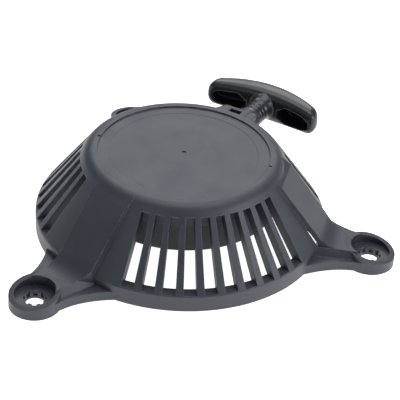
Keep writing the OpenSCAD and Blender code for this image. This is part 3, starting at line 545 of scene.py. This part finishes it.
def rope_channel():
    """The knot's pocket, with a cone before it down to the rope."""
    bm = bmesh.new()
    profile = [(HAIR, -2 * MM), (KNOT_POCKET, 0), (KNOT_POCKET, 12 * MM), (HAIR, 12 * MM)]
    turned(bm, profile, axis=(1, 0, 0), centre=(KNOT_SEAT, 0, GRIP_MIDDLE_Z))
    return bm


# %% The stem
FIRST_GROOVE, LAST_GROOVE = 1.6 * MM, 11 * MM
GROOVE_PITCH, GROOVE_DEPTH = 3.2 * MM, 0.45 * MM


def stem_profile():
    """Rings round the stem, and the flare by which it grows into the bar."""
    r = STEM_RADIUS
    rows = [(STEM_BORE + 0.5 * MM, 0), (r - 0.8 * MM, 0), (r - 0.2 * MM, 0.25 * MM), (r, 0.8 * MM)]
    at = FIRST_GROOVE
    while at < LAST_GROOVE:
        rows += [(r, at), (r - GROOVE_DEPTH, at + 0.5 * MM),
                 (r - GROOVE_DEPTH, at + 1.0 * MM), (r, at + 1.5 * MM)]
        at += GROOVE_PITCH
    rows += [(r + 0.1 * MM, 13 * MM), (r + 0.6 * MM, 14.6 * MM), (r + 1.5 * MM, 16.4 * MM),
             (r + 1.7 * MM, 20 * MM), (STEM_BORE, 20 * MM), (STEM_BORE, 0.5 * MM)]
    return rows


def add_grip():
    bm = cut_away(grip_bar(), [wing_hollow(1), wing_hollow(-1), rope_channel()])
    turned(bm, stem_profile(), steps=72, axis=(1, 0, 0), centre=(STEM_START, 0, GRIP_MIDDLE_Z))
    return as_piece("handle_grip", bm, GRIP, "handle", "grip", smooth_angle=50)


print("handle:", add_grip().name)

# %% [markdown]
# ## The rope
# One braided rope runs from the knot in the reel, round the reel, through the bush in the exit and through
# the stem to the knot in the handle. Strands are raised on the wound part. The part between bush and handle
# can be pulled out for most of a metre. It is built straight and rides on no body, and its rings lie close
# together at the bush. Its weave is drawn by the material, so it keeps its real size.

# %% Material of the straight rope
ROPE_Z = GRIP_MIDDLE_Z


def weave_group():
    """Height of the braid on a rope that runs along X at the height of the exit."""
    group, gin, out = new_group(
        "rope_weave",
        [("Lay", FLOAT, BRAID_LAY), ("Strands", FLOAT, BRAID_STRANDS), ("Rope Height", FLOAT, ROPE_Z)],
        [("Height", FLOAT)],
    )
    at = put(group, "ShaderNodeTexCoord").outputs["Object"]
    split = put(group, "ShaderNodeSeparateXYZ", {0: at})
    level = maths(group, "SUBTRACT", split.outputs["Z"], gin.outputs["Rope Height"])
    angle = maths(group, "ARCTAN2", level, split.outputs["Y"])
    turn = maths(group, "MULTIPLY", angle, gin.outputs["Strands"])
    circle = maths(group, "MULTIPLY", split.outputs["X"], 2 * math.pi)
    along = maths(group, "DIVIDE", circle, gin.outputs["Lay"])
    one = maths(group, "COSINE", maths(group, "ADD", turn, along))
    other = maths(group, "COSINE", maths(group, "SUBTRACT", turn, along))
    group.links.new(spread(group, maths(group, "MULTIPLY", one, other), -1, 1), out.inputs["Height"])
    return group


def straight_rope():
    material, tree, shader = new_material("rope_braid_straight", 0.8, specular=0.2)
    weave = put(tree, "ShaderNodeGroup", node_tree=weave_group())
    # The hollows between the strands are painted darker than the strands: painted shade.
    body = mixed(tree, weave.outputs["Height"], colour(0.40, 0.38, 0.34), colour(0.80, 0.79, 0.75))
    tree.links.new(body, shader.inputs["Base Color"])
    bump = put(tree, "ShaderNodeBump",
               {"Strength": 1.0, "Distance": 0.4 * MM, "Height": weave.outputs["Height"]})
    tree.links.new(bump.outputs["Normal"], shader.inputs["Normal"])
    return material


ROPE_RUN = straight_rope()

# %% Rope from the winding to the bush, and from the bush to the handle
ROPE_PITCH = 4.3 * MM
WOUND_RADIUS = 46.4 * MM
HALF_TURNS = 10
WINDING_STEP = 1.1 * MM
STUB_BEND, STUB_END = 6 * MM, 2 * MM
BUSH_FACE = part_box("guide_bush")[1].x
PASS_ON = BUSH_FACE - 1.3 * MM
BEND_AT = BUSH_FACE - 17.5 * MM
BEND_RADIUS = 12 * MM
LEAVE_TURN = math.acos(WOUND_RADIUS / BEND_AT)
BRAID = 0.28 * MM
SMOOTH_ROPE_RADIUS = ROPE_RADIUS - 0.15 * MM
ROPE_SIDES = 20
STRAIGHT_STEPS, BEND_STEPS, LEVEL_STEPS = 26, 10, 16
BUSH_STEPS, HANDLE_STEPS = 260, 30
ROPE_END = KNOT_SEAT + 3 * MM


def arc(centre, radius, start, end, steps):
    turns = [start + (end - start) * i / steps for i in range(steps + 1)]
    return [Vector((centre[0] + radius * math.cos(a), centre[1] + radius * math.sin(a), ROPE_Z))
            for a in turns]


def on_winding(points):
    turn = Matrix.Rotation(LEAVE_TURN, 3, "Z")
    return [turn @ p for p in points]


def winding_path():
    """Half turns that step inward from the leaving point, and the stub that bends in to the knot."""
    path = []
    for k in range(HALF_TURNS):
        centre = (0 if k % 2 == 0 else -ROPE_PITCH / 2, 0)
        radius = WOUND_RADIUS - k * ROPE_PITCH / 2
        start = math.pi * k
        half = arc(centre, radius, start, start + math.pi, int(radius * math.pi / WINDING_STEP))
        path += half if not path else half[1:]
    inner = WOUND_RADIUS - HALF_TURNS * ROPE_PITCH / 2
    stub = arc((inner - STUB_BEND, 0), STUB_BEND, 0, math.pi / 2, BEND_STEPS)
    path += stub[1:] + [stub[-1] - Vector((STUB_END, 0, 0))]
    return on_winding(path)


def inner_run_path():
    """From the winding straight to the bend, round it, and level into the bush."""
    bend = math.pi / 2 - LEAVE_TURN
    cut = BEND_RADIUS * math.tan(bend / 2)
    run = math.sqrt(BEND_AT ** 2 - WOUND_RADIUS ** 2)
    straight = on_winding([Vector((WOUND_RADIUS, -(run - cut) * i / STRAIGHT_STEPS, ROPE_Z))
                           for i in range(STRAIGHT_STEPS + 1)])
    turn = arc((BEND_AT + cut, BEND_RADIUS), BEND_RADIUS, 1.5 * math.pi - bend, 1.5 * math.pi, BEND_STEPS)
    level = [Vector((BEND_AT + cut + (PASS_ON - BEND_AT - cut) * i / LEVEL_STEPS, 0, ROPE_Z))
             for i in range(LEVEL_STEPS + 1)]
    return straight[1:] + turn[1:] + level[1:]


def add_ropes():
    bm = bmesh.new()
    sweep(bm, winding_path(), ROPE_RADIUS, sides=ROPE_SIDES, braid=BRAID)
    winding = as_piece("rope_on_reel", bm, ROPE, "reel", "rope_winding", smooth_angle=TUBE_SMOOTH)
    bm = bmesh.new()
    sweep(bm, inner_run_path(), ROPE_RADIUS, sides=ROPE_SIDES, braid=BRAID)
    inner = as_piece("rope_to_bush", bm, ROPE, "housing", "rope_inner_run", smooth_angle=TUBE_SMOOTH)
    bm = bmesh.new()
    start, end = PASS_ON, BUSH_FACE + 0.2 * MM
    along = [start + (end - start) * i / BUSH_STEPS for i in range(BUSH_STEPS + 1)]
    along += [end + (ROPE_END - end) * i / HANDLE_STEPS for i in range(1, HANDLE_STEPS + 1)]
    sweep(bm, [(x, 0, ROPE_Z) for x in along], SMOOTH_ROPE_RADIUS, sides=ROPE_SIDES)
    outer = as_piece("rope_to_handle", bm, ROPE_RUN, None, "rope_outer_run", smooth_angle=TUBE_SMOOTH)
    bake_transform(outer)
    return winding, inner, outer


print("rope:", [piece.name for piece in add_ropes()])

# %% Knots at both ends of the rope
# The rope of a knot is KNOT_THICK of its reach thick. The other shares are of the room that is left beside
# it.
KNOT_STEPS, KNOT_SIDES = 72, 14
KNOT_THICK = 0.46
KNOT_WIDTH, KNOT_WAVE, KNOT_DEPTH = 0.72, 0.22, 0.75
KNOT_BRAID, KNOT_STRANDS, KNOT_LAY = 0.12 * MM, 4, 4 * MM


def add_knot(name, node, body):
    """An overhand knot pulled tight: rope laid over itself round the standing part, which runs along X."""
    low, high = (Vector(corner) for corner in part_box(node))
    middle = (low + high) / 2
    reach = min(high - low) / 2
    thick = reach * KNOT_THICK
    room = reach - thick
    bm = bmesh.new()
    loop = []
    for i in range(KNOT_STEPS + 1):
        a = 2 * math.pi * i / KNOT_STEPS
        wide = room * (KNOT_WIDTH + KNOT_WAVE * math.cos(3 * a))
        along = room * KNOT_DEPTH * math.sin(3 * a)
        loop.append(middle + Vector((along, -wide * math.cos(2 * a), wide * math.sin(2 * a))))
    sweep(bm, loop, thick, sides=KNOT_SIDES, braid=KNOT_BRAID, strands=KNOT_STRANDS, lay=KNOT_LAY)
    return as_piece(name, bm, ROPE, body, node, smooth_angle=TUBE_SMOOTH)


print("knots:", add_knot("knot_in_reel", "rope_reel_knot", "reel").name,
      add_knot("knot_in_handle", "rope_grip_knot", "handle").name)

# %% [markdown]
# ## Wire springs and the centre screw
# The brake spring presses the drive plate's washer on. It is a coil of round wire whose end turns lie flat.
# The screw has a chamfered hexagon head with a flange and a cone at its end.

# %% Brake spring
BRAKE_WIRE = 0.5 * MM
BRAKE_TURNS, TURN_STEPS = 4, 60
# The rise starts and ends a fifth of the way from each end, so that the end turns lie nearly flat.
FLAT_SHARE = 0.2
MAIN_RISE, EVEN_RISE = 0.9, 0.1
WIRE_SIDES = 12


def add_brake_spring():
    low, high = (Vector(corner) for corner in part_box("brake_spring"))
    radius = high.x - BRAKE_WIRE
    travel = high.z - low.z - 2 * BRAKE_WIRE
    bm = bmesh.new()
    path = []
    for i in range(BRAKE_TURNS * TURN_STEPS + 1):
        t = i / (BRAKE_TURNS * TURN_STEPS)
        rise = min(1, max(0, (t - FLAT_SHARE) / (1 - 2 * FLAT_SHARE)))
        a = 2 * math.pi * BRAKE_TURNS * t
        path.append((radius * math.cos(a), radius * math.sin(a),
                     low.z + BRAKE_WIRE + travel * (MAIN_RISE * rise + EVEN_RISE * t)))
    sweep(bm, path, BRAKE_WIRE, sides=WIRE_SIDES)
    return as_piece("brake_spring_wire", bm, SPRING, "housing", "brake_spring", smooth_angle=TUBE_SMOOTH)


# %% Pawl springs
PAWL_PIVOT, COIL_RADIUS = 24 * MM, 2.9 * MM
PAWL_LEG_TURN, HUB_LEG_TURN = math.radians(-75), math.radians(118)
PAWL_LEG_LENGTH, HUB_LEG_LENGTH = 7.8 * MM, 6.3 * MM
LEG_STEPS, COIL_STEPS = 6, 30
WIRE_SHARE = 0.96


def spring_leg(direction, length):
    """A straight leg that leaves the coil at its side."""
    side = Vector((-math.sin(direction), math.cos(direction), 0)) * COIL_RADIUS
    way = Vector((math.cos(direction), math.sin(direction), 0))
    return [side + way * (length * i / LEG_STEPS) for i in range(LEG_STEPS + 1)]


def add_pawl_spring(number, turn):
    """A torsion spring: one coil round the pivot, one leg on the pawl and one against the hub."""
    low, high = (Vector(corner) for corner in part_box(f"pawl_spring_{number}"))
    wire = (high.z - low.z) / 2
    pivot = Vector((PAWL_PIVOT, 0, (low.z + high.z) / 2))
    start, end = PAWL_LEG_TURN + math.pi / 2, HUB_LEG_TURN + math.pi / 2
    coil_path = [Vector((COIL_RADIUS * math.cos(a), COIL_RADIUS * math.sin(a), 0))
                 for a in (end + (start + 2 * math.pi - end) * i / COIL_STEPS for i in range(COIL_STEPS + 1))]
    path = (spring_leg(HUB_LEG_TURN, HUB_LEG_LENGTH)[::-1] + coil_path[1:-1]
            + spring_leg(PAWL_LEG_TURN, PAWL_LEG_LENGTH))
    rotate = Matrix.Rotation(turn, 3, "Z")
    bm = bmesh.new()
    sweep(bm, [rotate @ (pivot + p) for p in path], wire * WIRE_SHARE, sides=WIRE_SIDES)
    return as_piece(f"pawl_spring_wire_{number}", bm, SPRING, "reel", f"pawl_spring_{number}",
                    smooth_angle=TUBE_SMOOTH)


# %% Centre screw
HEAD_RADIUS, HEAD_HEIGHT, HEAD_CHAMFER, HEAD_OVERLAP = 5.8 * MM, 2.8 * MM, 0.45 * MM, 0.2 * MM
FLANGE_CHAMFER, FLANGE_STRAIGHT, FLANGE_THICK = 0.3 * MM, 0.8 * MM, 1.15 * MM
THREAD_RADIUS, THREAD_PITCH, THREAD_DEPTH = 3 * MM, 1.0 * MM, 0.45 * MM
SHANK_RADIUS = THREAD_RADIUS - 0.2 * MM
THREAD_START, THREAD_END = 4 * MM, 1.6 * MM


def add_screw():
    low, high = (Vector(corner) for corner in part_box("centre_screw"))
    flange = high.x
    head_low, head_high = low.z, low.z + HEAD_HEIGHT
    bm = bmesh.new()
    top, bottom = [], []
    for k in range(6):
        a = math.pi / 3 * k
        x, y = HEAD_RADIUS * math.cos(a), HEAD_RADIUS * math.sin(a)
        bottom.append(bm.verts.new((x, y, head_low)))
        top.append(bm.verts.new((x, y, head_high + HEAD_OVERLAP)))
    join_rings(bm, [bottom, top])
    rim = [e for e in bm.edges if all(abs(v.co.z - head_low) < HAIR for v in e.verts)]
    bmesh.ops.bevel(bm, geom=rim, offset=HEAD_CHAMFER, offset_type="OFFSET", segments=2, profile=0.5,
                    affect="EDGES", material=-1)
    profile = [(HAIR, head_high), (flange - FLANGE_CHAMFER, head_high),
               (flange, head_high + FLANGE_CHAMFER), (flange, head_high + FLANGE_STRAIGHT),
               (flange - FLANGE_CHAMFER, head_high + FLANGE_THICK), (SHANK_RADIUS, head_high + FLANGE_THICK)]
    at = head_high + THREAD_START
    profile.append((SHANK_RADIUS, at))
    while at < high.z - THREAD_END:
        profile += [(THREAD_RADIUS, at + 0.3 * MM), (THREAD_RADIUS - THREAD_DEPTH, at + 0.8 * MM)]
        at += THREAD_PITCH
    profile += [(THREAD_RADIUS - 1.0 * MM, high.z), (HAIR, high.z)]
    turned(bm, profile, steps=48)
    return as_piece("hex_screw", bm, ZINC, "housing", "centre_screw", smooth_angle=30)


print("metal pieces:", add_brake_spring().name, add_screw().name,
      add_pawl_spring(1, 0.0).name, add_pawl_spring(2, math.pi).name)

# %% [markdown]
# ## The table
# The floor is a lit white sheet, as product tables are, so the slots of the bell read as bright openings.

# %% Floor
FLOOR_HALF_WIDTH = 6.0
FLOOR_GLOW = 1.0


def add_floor():
    bm = bmesh.new()
    bmesh.ops.create_grid(bm, x_segments=1, y_segments=1, size=FLOOR_HALF_WIDTH)
    mesh = bpy.data.meshes.new("floor")
    bm.to_mesh(mesh)
    bm.free()
    floor = bpy.data.objects.new("floor", mesh)
    bpy.context.scene.collection.objects.link(floor)
    material, tree, shader = new_material("floor_white", 0.6)
    shader.inputs["Base Color"].default_value = colour(0.9, 0.9, 0.9)
    shader.inputs["Emission Color"].default_value = colour(1, 1, 1)
    shader.inputs["Emission Strength"].default_value = FLOOR_GLOW
    clear = put(tree, "ShaderNodeBsdfTransparent")
    below = put(tree, "ShaderNodeNewGeometry").outputs["Backfacing"]
    mix = put(tree, "ShaderNodeMixShader", {0: below, 1: shader.outputs[0], 2: clear.outputs[0]})
    tree.links.new(mix.outputs[0], tree.nodes["Material Output"].inputs["Surface"])
    mesh.materials.append(material)


add_floor()
print("floor at the feet, z = 0")
